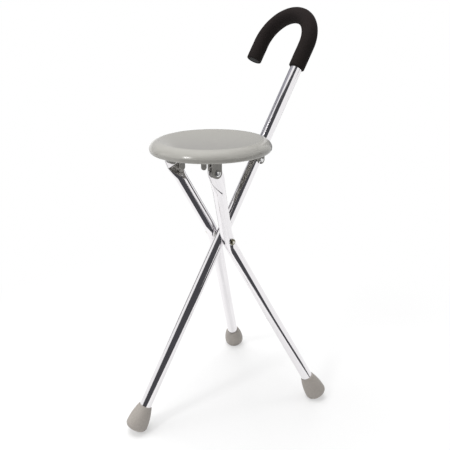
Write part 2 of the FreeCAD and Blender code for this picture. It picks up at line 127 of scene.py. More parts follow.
def ringMesh(name, rings, lengths, closed=False):
    # skins equal rings of points, closes both ends, and notes the place around and along
    bm = bmesh.new()
    wrap = bm.verts.layers.float_vector.new("wrap")
    rows = [[bm.verts.new(point) for point in ring] for ring in rings]
    count = len(rings[0])
    for row, length in zip(rows, lengths):
        for angle, vert in zip(roundAngles(count), row):
            vert[wrap] = Vector((math.cos(angle), math.sin(angle), length / tube["radius"]))
    pairs = list(zip(range(len(rings) - 1), range(1, len(rings))))
    if closed:
        pairs.append((len(rings) - 1, 0))
    for low, high in pairs:
        for step in range(count):
            after = (step + 1) % count
            face = bm.faces.new((rows[low][step], rows[low][after], rows[high][after], rows[high][step]))
            face.smooth = True
    if not closed:
        bm.faces.new(rows[0])
        bm.faces.new(rows[-1])
    return outwardMesh(name, bm)


def runningLengths(centres):
    lengths = [0.0]
    for before, after in zip(centres, centres[1:]):
        lengths.append(lengths[-1] + (after - before).length)
    return lengths


def turnedMesh(name, profile, start, way, count=64, loop=False):
    # a profile of (radius, height) pairs spun about way, with closed poles or closed on itself
    bm = bmesh.new()
    turn = upward.rotation_difference(way).to_matrix()
    rows = []
    for radius, height in profile:
        if radius < tiny:
            rows.append([bm.verts.new(start + turn @ Vector((0, 0, height)))])
            continue
        row = []
        for angle in roundAngles(count):
            spot = Vector((radius * math.cos(angle), radius * math.sin(angle), height))
            row.append(bm.verts.new(start + turn @ spot))
        rows.append(row)
    pairs = list(zip(range(len(rows) - 1), range(1, len(rows))))
    if loop:
        pairs.append((len(rows) - 1, 0))
    for low, high in pairs:
        for step in range(count):
            after = (step + 1) % count
            corners = []
            for row, place in ((low, step), (low, after), (high, after), (high, step)):
                vert = rows[row][place % len(rows[row])]
                if vert not in corners:
                    corners.append(vert)
            if len(corners) < 3:
                continue
            face = bm.faces.new(corners)
            face.smooth = True
    return outwardMesh(name, bm)


def arcProfile(centre, radius, first, last, count):
    # points on an arc in the radius and height plane
    spots = []
    for angle in alongArc(first, last, count):
        spots.append((centre[0] + radius * math.cos(angle), centre[1] + radius * math.sin(angle)))
    return spots


# Node trees

def addNode(tree, kind, *wires, **settings):
    # adds a node; each wire is an input's name or place, and a socket or a plain value
    node = tree.nodes.new(kind)
    for name, value in settings.items():
        setattr(node, name, value)
    for name, value in wires:
        if isinstance(value, bpy.types.NodeSocket):
            tree.links.new(value, node.inputs[name])
        else:
            node.inputs[name].default_value = value
    return node


def newTree(name, *sizes):
    # an empty tree with a geometry in and out, and one named input for each size
    tree = bpy.data.node_groups.new(name, "GeometryNodeTree")
    tree.interface.new_socket("Geometry", in_out="INPUT", socket_type="NodeSocketGeometry")
    for label, kind in sizes:
        tree.interface.new_socket(label, in_out="INPUT", socket_type="NodeSocket" + kind)
    tree.interface.new_socket("Geometry", in_out="OUTPUT", socket_type="NodeSocketGeometry")
    return tree, tree.nodes.new("NodeGroupInput").outputs


def endTree(tree, geometry, finish):
    real = addNode(tree, "GeometryNodeRealizeInstances", ("Geometry", geometry))
    coated = addNode(tree, "GeometryNodeSetMaterial", ("Geometry", real.outputs["Geometry"]),
                     ("Material", finish))
    addNode(tree, "NodeGroupOutput", ("Geometry", coated.outputs["Geometry"]))
    return tree


def grownMesh(name, source, tree, **values):
    # runs a tree over a source mesh and keeps the result as a plain mesh
    holder = inScene(name, source)
    modifier = holder.modifiers.new("nodes", "NODES")
    modifier.node_group = tree
    for item in tree.interface.items_tree:
        if item.in_out == "INPUT" and item.name in values:
            modifier[item.identifier] = values[item.name]
    mesh = bakedMesh(holder)
    mesh.name = name
    return mesh


def sweepTree():
    # a round tube along a path of edges, which notes the place around and along in wrap
    tree, given = newTree("sweptTube", ("Radius", "Float"), ("Sides", "Int"), ("Finish", "Material"))
    curve = addNode(tree, "GeometryNodeMeshToCurve", ("Mesh", given["Geometry"]))
    path = addNode(tree, "GeometryNodeCaptureAttribute", ("Geometry", curve.outputs["Curve"]))
    path.capture_items.new("FLOAT", "Along")
    tree.links.new(addNode(tree, "GeometryNodeSplineParameter").outputs["Length"], path.inputs["Along"])
    circle = addNode(tree, "GeometryNodeCurvePrimitiveCircle", ("Radius", given["Radius"]),
                     ("Resolution", given["Sides"]))
    rim = addNode(tree, "GeometryNodeCaptureAttribute", ("Geometry", circle.outputs["Curve"]))
    rim.capture_items.new("VECTOR", "Around")
    tree.links.new(addNode(tree, "GeometryNodeInputPosition").outputs["Position"], rim.inputs["Around"])
    skin = addNode(tree, "GeometryNodeCurveToMesh", ("Curve", path.outputs["Geometry"]),
                   ("Profile Curve", rim.outputs["Geometry"]), ("Fill Caps", True))
    rise = addNode(tree, "ShaderNodeCombineXYZ", ("Z", path.outputs["Along"]))
    spot = addNode(tree, "ShaderNodeVectorMath", (0, rim.outputs["Around"]), (1, rise.outputs["Vector"]),
                   operation="ADD")
    even = addNode(tree, "ShaderNodeVectorMath", (0, spot.outputs["Vector"]), (1, given["Radius"]),
                   operation="DIVIDE")
    noted = addNode(tree, "GeometryNodeStoreNamedAttribute", ("Geometry", skin.outputs["Mesh"]),
                    ("Name", "wrap"), ("Value", even.outputs["Vector"]), data_type="FLOAT_VECTOR",
                    domain="POINT")
    # the caps have more than four corners and stay flat
    corners = addNode(tree, "GeometryNodeInputMeshFaceNeighbors").outputs["Vertex Count"]
    side = addNode(tree, "ShaderNodeMath", (0, corners), (1, 4.5), operation="LESS_THAN")
    smooth = addNode(tree, "GeometryNodeSetShadeSmooth", ("Geometry", noted.outputs["Geometry"]),
                     ("Shade Smooth", side.outputs["Value"]))
    return endTree(tree, smooth.outputs["Geometry"], given["Finish"])


def repeatTree():
    # one piece on each point, standing along facing, scaled by stretch, each with its own turn
    tree, given = newTree("repeatedPiece", ("Piece", "Object"), ("Seed", "Int"), ("Most Turn", "Float"),
                          ("Finish", "Material"))
    facing = addNode(tree, "GeometryNodeInputNamedAttribute", ("Name", "facing"), data_type="FLOAT_VECTOR")
    stretch = addNode(tree, "GeometryNodeInputNamedAttribute", ("Name", "stretch"), data_type="FLOAT_VECTOR")
    upright = addNode(tree, "FunctionNodeAlignRotationToVector", ("Vector", facing.outputs["Attribute"]),
                      axis="Z")
    chance = addNode(tree, "FunctionNodeRandomValue", ("Seed", given["Seed"]), data_type="FLOAT")
    share = [out for out in chance.outputs if out.enabled][0]
    angle = addNode(tree, "ShaderNodeMath", (0, share), (1, given["Most Turn"]), operation="MULTIPLY")
    spin = addNode(tree, "FunctionNodeAxisAngleToRotation", ("Axis", upward),
                   ("Angle", angle.outputs["Value"]))
    turned = addNode(tree, "FunctionNodeRotateRotation", ("Rotation", upright.outputs["Rotation"]),
                     ("Rotate By", spin.outputs["Rotation"]), rotation_space="LOCAL")
    piece = addNode(tree, "GeometryNodeObjectInfo", ("Object", given["Piece"]))
    copies = addNode(tree, "GeometryNodeInstanceOnPoints", ("Points", given["Geometry"]),
                     ("Instance", piece.outputs["Geometry"]), ("Rotation", turned.outputs["Rotation"]),
                     ("Scale", stretch.outputs["Attribute"]))
    return endTree(tree, copies.outputs["Instances"], given["Finish"])


def spokeTree():
    # copies of one rib turned about a centre, joined to the rings, cut back from the clearance
    tree, given = newTree("ribsAndRings", ("Rib", "Object"), ("Clearance", "Object"), ("Count", "Int"),
                          ("Centre", "Vector"), ("Finish", "Material"))
    points = addNode(tree, "GeometryNodePoints", ("Count", given["Count"]), ("Position", given["Centre"]))
    index = addNode(tree, "GeometryNodeInputIndex").outputs["Index"]
    half = addNode(tree, "ShaderNodeMath", (0, index), (1, 0.5), operation="ADD")
    share = addNode(tree, "ShaderNodeMath", (0, half.outputs["Value"]), (1, given["Count"]),
                    operation="DIVIDE")
    angle = addNode(tree, "ShaderNodeMath", (0, share.outputs["Value"]), (1, 2 * math.pi),
                    operation="MULTIPLY")
    spin = addNode(tree, "FunctionNodeAxisAngleToRotation", ("Axis", upward),
                   ("Angle", angle.outputs["Value"]))
    rib = addNode(tree, "GeometryNodeObjectInfo", ("Object", given["Rib"]))
    spokes = addNode(tree, "GeometryNodeInstanceOnPoints", ("Points", points.outputs["Geometry"]),
                     ("Instance", rib.outputs["Geometry"]), ("Rotation", spin.outputs["Rotation"]))
    real = addNode(tree, "GeometryNodeRealizeInstances", ("Geometry", spokes.outputs["Instances"]))
    joined = addNode(tree, "GeometryNodeJoinGeometry")
    tree.links.new(given["Geometry"], joined.inputs["Geometry"])
    tree.links.new(real.outputs["Geometry"], joined.inputs["Geometry"])
    clear = addNode(tree, "GeometryNodeObjectInfo", ("Object", given["Clearance"]))
    cut = addNode(tree, "GeometryNodeMeshBoolean", ("Mesh 1", joined.outputs["Geometry"]),
                  ("Mesh 2", clear.outputs["Geometry"]), ("Self Intersection", True), operation="DIFFERENCE",
                  solver="EXACT")
    return endTree(tree, cut.outputs["Mesh"], given["Finish"])


def template(name, mesh):
    # a piece that a tree copies; it is never in the scene itself
    return bpy.data.objects.new(name, mesh)


def pointCloud(name, places, facings, stretches=None):
    # bare points that say where a piece stands, which way it faces and how it is stretched
    mesh = bpy.data.meshes.new(name)
    mesh.from_pydata(places, [], [])
    facing = mesh.attributes.new("facing", "FLOAT_VECTOR", "POINT")
    stretch = mesh.attributes.new("stretch", "FLOAT_VECTOR", "POINT")
    for step, way in enumerate(facings):
        facing.data[step].vector = way
        stretch.data[step].vector = stretches[step] if stretches else (1, 1, 1)
    return mesh


# Node materials

patterns = {
    "low": 0.3,  # the part of a 0 to 1 noise that is spread over a range
    "high": 0.7,
    "steelClouds": 700,
    "steelDetail": 3.0,
    "steelSmoothest": 0.7,  # shares of the given roughness
    "steelRoughest": 1.5,
    "plasticDetail": 2.0,
    "plasticGrain": 1500,
    "grainDetail": 4.0,
    "grainDepth": 0.0003,
    "plasticSmoothest": 0.9,
    "plasticRoughest": 1.12,
}


def newMaterial(name, colour, roughness, metallic=0.0):
    # flat values, which stand until a pattern is linked over them
    material = bpy.data.materials.new(name)
    material.use_nodes = True
    shader = material.node_tree.nodes["Principled BSDF"]
    shader.inputs["Base Color"].default_value = (*colour, 1)
    shader.inputs["Roughness"].default_value = roughness
    shader.inputs["Metallic"].default_value = metallic
    return material, material.node_tree, shader


def objectPlace(tree):
    return addNode(tree, "ShaderNodeTexCoord").outputs["Object"]


def wrapPlace(tree):
    # the place around and along a tube, which its mesh carries
    return addNode(tree, "ShaderNodeAttribute", attribute_name="wrap").outputs["Vector"]


def patternOf(tree, place, scale, detail):
    mapping = addNode(tree, "ShaderNodeMapping", ("Vector", place), ("Scale", scale))
    texture = addNode(tree, "ShaderNodeTexNoise", ("Vector", mapping.outputs["Vector"]), ("Scale", 1.0),
                      ("Detail", detail))
    return texture.outputs["Fac"]


def cloudsOf(tree, scale, detail):
    return patternOf(tree, objectPlace(tree), (scale, scale, scale), detail)


def colourFrom(tree, shader, pattern, first, second):
    mix = addNode(tree, "ShaderNodeMix", ("Factor", pattern), ("A", (*first, 1)), ("B", (*second, 1)),
                  data_type="RGBA")
    tree.links.new(mix.outputs["Result"], shader.inputs["Base Color"])


def roughnessFrom(tree, shader, pattern, smoothest, roughest):
    reach = addNode(tree, "ShaderNodeMapRange", ("Value", pattern), ("From Min", patterns["low"]),
                    ("From Max", patterns["high"]), ("To Min", smoothest), ("To Max", roughest))
    tree.links.new(reach.outputs["Result"], shader.inputs["Roughness"])


def bumpFrom(tree, shader, pattern, strength, depth):
    bump = addNode(tree, "ShaderNodeBump", ("Strength", strength), ("Distance", depth), ("Height", pattern))
    tree.links.new(bump.outputs["Normal"], shader.inputs["Normal"])


drawnTube = {
    "flatColour": (0.9, 0.9, 0.91),
    "flatRoughness": 0.08,
    "colour": (0.955, 0.935, 0.945),
    "shade": (0.73, 0.715, 0.735),
    "smoothest": 0.045,
    "roughest": 0.12,
    "streaks": (6, 6, 0.1),  # the noise's scale across the tube both ways, and along it
    "detail": 3.0,
    "relief": 0.006,
    "depth": 0.0002,
}


def polishedAluminium():
    look = drawnTube
    material, tree, shader = newMaterial("polishedAluminium", look["flatColour"], look["flatRoughness"], 1.0)
    drawn = patternOf(tree, wrapPlace(tree), look["streaks"], look["detail"])
    colourFrom(tree, shader, drawn, look["colour"], look["shade"])
    roughnessFrom(tree, shader, drawn, look["smoothest"], look["roughest"])
    bumpFrom(tree, shader, drawn, look["relief"], look["depth"])
    return material


def platedSteel(name, colour, shade, roughness):
    material, tree, shader = newMaterial(name, colour, roughness, 1.0)
    clouds = cloudsOf(tree, patterns["steelClouds"], patterns["steelDetail"])
    colourFrom(tree, shader, clouds, colour, shade)
    roughnessFrom(tree, shader, clouds, roughness * patterns["steelSmoothest"],
                  roughness * patterns["steelRoughest"])
    return material


def mouldedPlastic(name, colour, shade, roughness, grain, cloudScale=22, shine=0.5):
    material, tree, shader = newMaterial(name, colour, roughness)
    clouds = cloudsOf(tree, cloudScale, patterns["plasticDetail"])
    texture = cloudsOf(tree, patterns["plasticGrain"], patterns["grainDetail"])
    colourFrom(tree, shader, clouds, colour, shade)
    roughnessFrom(tree, shader, texture, roughness * patterns["plasticSmoothest"],
                  roughness * patterns["plasticRoughest"])
    bumpFrom(tree, shader, texture, grain, patterns["grainDepth"])
    shader.inputs["Specular IOR Level"].default_value = shine
    return material


poredFoam = {
    "flatColour": (0.01, 0.008, 0.008),
    "flatRoughness": 0.85,
    "colour": (0.0108, 0.0084, 0.0082),
    "shade": (0.0185, 0.0145, 0.0137),
    "smoothest": 0.78,
    "roughest": 0.95,
    "wearScale": 45,
    "wearDetail": 4.0,
    "poreScale": 1100,
    "poreRelief": 0.35,
    "poreDepth": 0.0006,
    "shine": 0.14,
}


def foamRubber():
    look = poredFoam
    material, tree, shader = newMaterial("blackFoam", look["flatColour"], look["flatRoughness"])
    pores = addNode(tree, "ShaderNodeTexVoronoi", ("Vector", objectPlace(tree)), ("Scale", look["poreScale"]))
    wear = cloudsOf(tree, look["wearScale"], look["wearDetail"])
    colourFrom(tree, shader, wear, look["colour"], look["shade"])
    roughnessFrom(tree, shader, wear, look["smoothest"], look["roughest"])
    bumpFrom(tree, shader, pores.outputs["Distance"], look["poreRelief"], look["poreDepth"])
    shader.inputs["Specular IOR Level"].default_value = look["shine"]
    return material


domedBolt = {
    "flatColour": (0.3, 0.27, 0.18),
    "flatRoughness": 0.3,
    # middle is the colour of the painted highlight and rim the colour of the painted shade
    "middle": (0.78, 0.76, 0.68),
    "rim": (0.17, 0.155, 0.1),
    "paintedHighlightTo": 0.0016,
    "paintedShadeFrom": 0.0034,
    "smoothest": 0.22,
    "roughest": 0.4,
}


def boltWithPaintedHighlight():
    # an olive plated head, with painted shade darker towards its rim and a painted highlight bright in the
    # middle of its dome
    look = domedBolt
    material, tree, shader = newMaterial("boltHead", look["flatColour"], look["flatRoughness"], 1.0)
    # the painted highlight and painted shade are laid out by distance from the bolt's axis
    centred = addNode(tree, "ShaderNodeMapping", ("Vector", objectPlace(tree)), ("Location", -pivot))
    flat = addNode(tree, "ShaderNodeVectorMath", (0, centred.outputs["Vector"]), (1, (1, 0, 1)),
                   operation="MULTIPLY")
    reach = addNode(tree, "ShaderNodeVectorMath", (0, flat.outputs["Vector"]), operation="LENGTH")
    rings = addNode(tree, "ShaderNodeMapRange", ("Value", reach.outputs["Value"]),
                    ("From Min", look["paintedHighlightTo"]), ("From Max", look["paintedShadeFrom"]))
    colourFrom(tree, shader, rings.outputs["Result"], look["middle"], look["rim"])
    clouds = cloudsOf(tree, patterns["steelClouds"], patterns["steelDetail"])
    roughnessFrom(tree, shader, clouds, look["smoothest"], look["roughest"])
    return material


aluminium = polishedAluminium()
zincSteel = platedSteel("zincSteel", colour=(0.62, 0.56, 0.42), shade=(0.5, 0.44, 0.31), roughness=0.25)
brightSteel = platedSteel("brightSteel", colour=(0.78, 0.78, 0.77), shade=(0.66, 0.66, 0.66), roughness=0.2)
boltHead = boltWithPaintedHighlight()
seatPlastic = mouldedPlastic("seatPlastic", colour=(0.36, 0.352, 0.325), shade=(0.345, 0.336, 0.31),
                             roughness=0.17, grain=0.05)
bracketPlastic = mouldedPlastic("bracketPlastic", colour=(0.268, 0.26, 0.24), shade=(0.232, 0.225, 0.205),
                                roughness=0.4, grain=0.15)
greyRubber = mouldedPlastic("greyRubber", colour=(0.46, 0.425, 0.39), shade=(0.31, 0.283, 0.258),
                            roughness=0.55, grain=0.5, cloudScale=420)
blackPlastic = mouldedPlastic("blackPlastic", colour=(0.012, 0.012, 0.012), shade=(0.018, 0.018, 0.018),
                              roughness=0.6, grain=0.2, shine=0.12)
whiteNylon = mouldedPlastic("whiteNylon", colour=(0.75, 0.75, 0.72), shade=(0.7, 0.7, 0.66), roughness=0.4,
                            grain=0.1)
blackFoam = foamRubber()
print("materials ready")


# Stick: a straight tube whose crook bends across the seat

stick = {
    "lean": 31.75,
    "crookReach": 0.3935,
    "crookWidth": 0.129,
    "endReach": 0.3564,
    "bendSteps": 48,
    "straightRuns": 40,
    "footRise": 0.009,
    "plugSeat": 0.003,
}
plug = {
    "gap": 0.0002,
    "edge": 0.0005,
    "edgeSteps": 6,
    "rise": 0.0003,
    "sideCount": 48,
}
stickWay = leaning(stick["lean"])


def stickPoint(reach, side):
    return pivot + stickWay * reach + across * side


def crookPath(start):
    # from start up to the crook, round it and back along the free arm
    radius = stick["crookWidth"] / 2
    path = [start]
    for angle in alongArc(0, math.pi, stick["bendSteps"]):
        rise = stick["crookReach"] + radius * math.sin(angle)
        path.append(stickPoint(rise, radius * (1 - math.cos(angle))))
    path.append(stickPoint(stick["endReach"], stick["crookWidth"]))
    return path


# Ferrules: a rounded foot below a flared sleeve

ferruleSizes = {
    "radius": 0.02025,
    "length": 0.047,
    "mouthRadius": 0.013,
    "edgeRadius": 0.009,
    "floor": 0.009,
    "flat": 0.0008,
    "waistShare": 0.9,
    "lip": 0.001,
    "edgeSteps": 14,
    "sleeveSteps": 20,
    "lipSteps": 5,
    "sideCount": 72,
}


def ferruleTip(onFloor, way):
    edge = ferruleSizes["edgeRadius"]
    tipRadius = ferruleSizes["radius"] - edge
    lowest = edge * way.z - tipRadius * math.sqrt(1 - way.z ** 2) - edge
    return onFloor + way * ((-ferruleSizes["flat"] - lowest) / way.z)


def ferruleProfile():
    sizes = ferruleSizes
    tipRadius = sizes["radius"] - sizes["edgeRadius"]
    length = sizes["length"]
    profile = [(0, 0), (tipRadius * 0.5, 0)]
    profile += arcProfile((tipRadius, sizes["edgeRadius"]), sizes["edgeRadius"], -math.pi / 2, 0,
                          sizes["edgeSteps"])
    steps = sizes["sleeveSteps"]
    waist = sizes["radius"] * sizes["waistShare"]
    lipTop = length - sizes["lip"]
    for step in range(1, steps + 1):
        share = step / steps
        # a quadratic through the widest place, the waist and the mouth
        first = sizes["radius"] * (1 - share) * (1 - 2 * share)
        middle = waist * 4 * share * (1 - share)
        last = sizes["mouthRadius"] * share * (2 * share - 1)
        height = sizes["edgeRadius"] + (lipTop - sizes["edgeRadius"]) * share
        profile.append((first + middle + last, height))
    lipCentre = (sizes["mouthRadius"] - sizes["lip"], lipTop)
    profile += arcProfile(lipCentre, sizes["lip"], 0, math.pi / 2, sizes["lipSteps"])[1:]
    profile += [(tube["radius"], length), (tube["radius"], sizes["floor"]), (0, sizes["floor"])]
    return profile


def makeFerrule(name, tip, way, body, *stoodFor):
    mesh = turnedMesh(name, ferruleProfile(), tip, way, ferruleSizes["sideCount"])
    for vert in mesh.vertices:
        vert.co.z = max(vert.co.z, 0.0)
    finished(name, mesh, greyRubber, body, "grey_rubber", *stoodFor)


stickFloor = pivot - stickWay * (pivot.z / stickWay.z)
stickTip = ferruleTip(stickFloor, stickWay)
makeFerrule("stickFerrule", stickTip, stickWay, "stick", "stick_ferrule")


def sweptRings(centres, ways, flat, radii, count):
    # circles square to the path; flat is a direction that the path never leaves
    rings = []
    for centre, way, radius in zip(centres, ways, radii):
        wide = way.cross(flat).normalized()
        thin = wide.cross(way).normalized()
        ring = []
        for angle in roundAngles(count):
            ring.append(centre + wide * (radius * math.cos(angle)) + thin * (radius * math.sin(angle)))
        rings.append(ring)
    return rings


def waysAlong(centres):
    ways = []
    last = len(centres) - 1
    for place in range(len(centres)):
        before = centres[max(place - 1, 0)]
        after = centres[min(place + 1, last)]
        ways.append((after - before).normalized())
    return ways


sweptTube = sweepTree()


def makeStickTube():
    # short straight runs up to the crook, so that the drawn streaks are noted along them
    arch = crookPath(stickTip + stickWay * stick["footRise"])
    arch[-1] += stickWay * stick["plugSeat"]
    runs = stick["straightRuns"]
    places = [arch[0].lerp(arch[1], step / runs) for step in range(runs)] + arch[1:]
    path = bpy.data.meshes.new("stickPath")
    path.from_pydata(places, [(step, step + 1) for step in range(len(places) - 1)], [])
    mesh = grownMesh("stickTube", path, sweptTube, Radius=tube["radius"], Sides=tube["sideCount"],
                     Finish=aluminium)
    finished("stickTube", mesh, aluminium, "stick", "polished_aluminium", "stick_tube")


def makeHandlePlug():
    # a shallow black button whose stem fills the tube's open end inside the foam
    end = stickPoint(stick["endReach"], stick["crookWidth"])
    rim = tube["radius"] - plug["gap"]
    profile = [(0, plug["rise"])]
    profile += arcProfile((rim - plug["edge"], plug["edge"] * 2), plug["edge"], -math.pi / 2, 0,
                          plug["edgeSteps"])
    profile += [(rim, stick["plugSeat"]), (0, stick["plugSeat"])]
    mesh = turnedMesh("handleEndPlug", profile, end, stickWay, plug["sideCount"])
    finished("handleEndPlug", mesh, blackPlastic, "stick", "black_plastic", "handle_end_plug")


makeHandlePlug()
makeStickTube()
print("stick ready")

# Foam grip: a sleeve with rounded ends over the crook

foam = {
    "reach": 0.3479,
    "radius": 0.0155,
    "edge": 0.0022,
    "lumps": 0.0003,
    "lumpScale": 60,
    "spacing": 0.004,
    "endSteps": 8,
    "sideCount": 72,
}


def foamEnd(centre, inward, way):
    # stations of a rounded end, from its face up to the full radius
    edge = foam["edge"]
    stations = []
    for turn in alongArc(0, math.pi / 2, foam["endSteps"])[:-1]:
        stations.append((centre + inward * edge * (1 - math.cos(turn)), way,
                         foam["radius"] - edge + edge * math.sin(turn)))
    return stations


def makeFoamGrip():
    path = crookPath(stickPoint(foam["reach"], 0))
    centres = []
    for before, after in zip(path, path[1:]):
        count = max(1, round((after - before).length / foam["spacing"]))
        centres += [before + (after - before) * (step / count) for step in range(count)]
    centres.append(path[-1])
    lengths = runningLengths(centres)
    whole = lengths[-1]
    edge = foam["edge"]
    planeNormal = stickWay.cross(across)
    startWay = (centres[1] - centres[0]).normalized()
    endWay = (centres[-1] - centres[-2]).normalized()
    stations = foamEnd(centres[0], startWay, startWay)
    for centre, way, length in zip(centres, waysAlong(centres), lengths):
        if edge < length < whole - edge:
            stations.append((centre, way, foam["radius"]))
    stations += foamEnd(centres[-1], -endWay, endWay)[::-1]
    inner = [(centre, way, tube["radius"]) for centre, way in (station[:2] for station in reversed(stations))]
    places, ways, radii = zip(*(stations + inner))
    rings = sweptRings(places, ways, planeNormal, radii, foam["sideCount"])
    for ring, centre in zip(rings, places[:len(stations)]):
        for place, point in enumerate(ring):
            lump = (noise.noise(point * foam["lumpScale"]) - 1) * foam["lumps"] / 2
            ring[place] = point + (point - centre).normalized() * lump
    mesh = ringMesh("foamGrip", rings, runningLengths(places), closed=True)
    piece = finished("foamGrip", mesh, blackFoam, "stick", "black_foam", "foam_grip")


makeFoamGrip()
print("foam grip ready")

# Legs: bent at the pivot bolt, with tops pressed flat into a tongue

leg = {
    "lean": -22.4,
    "splay": 17.7,
    "bendRadius": 0.08,
    "pivotSpan": 0.0234,
    "hingeReach": 0.1586,
    "flatStart": 0.013,
    "flatteningLength": 0.024,
    "tongueThickness": 0.0032,
    "tongueWidth": 0.028,
    "tongueSpan": 0.0665,
    "pressedIn": 0.35,
    "endTurn": 88,
    "lowerSteps": 30,
    "bendSteps": 12,
    "upperSteps": 12,
    "pressSteps": 36,
    "tongueSteps": 5,
    "endSteps": 24,
    "sideCount": 96,
}
legWay = leaning(leg["lean"])
splay = math.radians(leg["splay"])


def legPoint(span, reach, side):
    return pivot + legWay * reach + across * (span * side)


def legStations(side):
    # (centre, way, half width, half thickness) from the foot to the tongue's end
    radius = tube["radius"]
    bend = leg["bendRadius"]
    bendSpan = leg["pivotSpan"] + bend * (1 - math.cos(splay))
    bendReach = bend * math.sin(splay)
    upperWay = legWay * math.cos(splay) + across * (side * math.sin(splay))
    lowerWay = legWay * math.cos(splay) - across * (side * math.sin(splay))
    bendBottom = legPoint(bendSpan, -bendReach, side)
    onFloor = bendBottom - lowerWay * (bendBottom.z / lowerWay.z)
    tip = ferruleTip(onFloor, lowerWay)
    foot = tip + lowerWay * ferruleSizes["floor"]
    stations = []
    for step in range(leg["lowerSteps"]):
        share = step / leg["lowerSteps"]
        stations.append((foot + (bendBottom - foot) * share, lowerWay, radius, radius))
    for angle in alongArc(-splay, splay, leg["bendSteps"]):
        centre = legPoint(leg["pivotSpan"] + bend * (1 - math.cos(angle)), bend * math.sin(angle), side)
        way = legWay * math.cos(angle) + across * (side * math.sin(angle))
        stations.append((centre, way, radius, radius))
    flatReach = leg["hingeReach"] - leg["flatStart"]
    roundReach = flatReach - leg["flatteningLength"]
    roundSpan = bendSpan + (roundReach - bendReach) * math.tan(splay)
    top = stations[-1][0]
    roundTop = legPoint(roundSpan, roundReach, side)
    for step in range(1, leg["upperSteps"]):
        share = step / leg["upperSteps"]
        stations.append((top + (roundTop - top) * share, upperWay, radius, radius))
    halfWidth = leg["tongueWidth"] / 2
    halfThickness = leg["tongueThickness"] / 2
    for step in range(leg["pressSteps"] + 1):
        share = step / leg["pressSteps"]
        span = roundSpan + (leg["tongueSpan"] - roundSpan) * share
        centre = legPoint(span, roundReach + leg["flatteningLength"] * share, side)
        way = upperWay.lerp(legWay, share).normalized()
        width = radius + (halfWidth - radius) * math.sin(share * math.pi / 2)
        thickness = radius + (halfThickness - radius) * share
        stations.append((centre, way, width, thickness))
    for step in range(1, leg["tongueSteps"] + 1):
        reach = flatReach + leg["flatStart"] * step / leg["tongueSteps"]
        stations.append((legPoint(leg["tongueSpan"], reach, side), legWay, halfWidth, halfThickness))
    for angle in alongArc(0, math.radians(leg["endTurn"]), leg["endSteps"])[1:]:
        centre = legPoint(leg["tongueSpan"], leg["hingeReach"] + halfWidth * math.sin(angle), side)
        stations.append((centre, legWay, halfWidth * math.cos(angle), halfThickness))
    return stations, tip, lowerWay


def pressedRing(centre, way, halfWidth, halfThickness):
    # a tube's section with both broad sides pressed in to a flat
    radius = tube["radius"]
    wide = across.cross(way).normalized()
    thin = way.cross(wide).normalized()
    pressed = (radius - halfThickness) / (radius - leg["tongueThickness"] / 2)
    bulge = radius * (1 - leg["pressedIn"] * pressed)
    ring = []
    for angle in roundAngles(leg["sideCount"]):
        depth = max(-halfThickness, min(halfThickness, bulge * math.sin(angle)))
        ring.append(centre + wide * (halfWidth * math.cos(angle)) + thin * depth)
    return ring


def makeLeg(sideName, side):
    stations, tip, lowerWay = legStations(side)
    rings = [pressedRing(*station) for station in stations]
    mesh = ringMesh(sideName + "LegTube", rings, runningLengths([station[0] for station in stations]))
    node = sideName + "_leg_tube"
    finished(sideName + "LegTube", mesh, aluminium, "legs", "polished_aluminium", node)
    makeFerrule(sideName + "LegFerrule", tip, lowerWay, "legs", sideName + "_leg_ferrule")


makeLeg("right", -1)
makeLeg("left", 1)
print("legs ready")

# Seat: a shallow dish inside a rolled crest, with a turned-in skirt and ribs below

seat = {
    "radius": 0.108,
    "lowEdge": 0.5075,
    "depth": 0.02,
    "dish": 0.0037,
    "wall": 0.003,
    "crestShare": 0.827,
    "crestRadius": 0.02,
    "sideRadius": 0.004,
    "skirtRadius": 0.014,
    "dishSteps": 28,
    "crestSteps": 14,
    "edgeSteps": 10,
    "sideCount": 160,
}
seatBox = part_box("seat_shell")
seatCentre = (seatBox[0] + seatBox[1]) / 2
seatBase = Vector((seatCentre.x, 0, 0))


def seatWall(inset):
    # the seat's top, crest, side and skirt, moved in by inset, from the middle outwards
    crestPlace = seat["radius"] * seat["crestShare"]
    crestTop = seat["lowEdge"] + seat["depth"]
    bothRadii = (crestPlace ** 2 + seat["dish"] ** 2) / (2 * seat["dish"])
    sidePlace = seat["radius"] - seat["sideRadius"]
    drop = seat["crestRadius"] - seat["sideRadius"]
    widest = crestTop - seat["crestRadius"] + math.sqrt(drop ** 2 - (sidePlace - crestPlace) ** 2)
    dishRadius = bothRadii - seat["crestRadius"]
    tilt = math.asin(crestPlace / bothRadii)
    roll = math.atan2(widest - (crestTop - seat["crestRadius"]), sidePlace - crestPlace)
    skirt = seat["skirtRadius"] - inset
    tuck = -math.asin((widest - seat["lowEdge"]) / skirt)
    dishCentre = (0, crestTop - seat["dish"] + dishRadius)
    steps = seat["edgeSteps"]
    profile = arcProfile(dishCentre, dishRadius + inset, -math.pi / 2, -math.pi / 2 + tilt,
                         seat["dishSteps"])
    profile[0] = (0, profile[0][1])
    crestCentre = (crestPlace, crestTop - seat["crestRadius"])
    profile += arcProfile(crestCentre, seat["crestRadius"] - inset, math.pi / 2 + tilt, roll,
                          seat["crestSteps"])[1:]
    profile += arcProfile((sidePlace, widest), seat["sideRadius"] - inset, roll, 0, steps)[1:]
    skirtCentre = (seat["radius"] - seat["skirtRadius"], widest)
    profile += arcProfile(skirtCentre, skirt, 0, tuck, steps)[1:]
    return profile


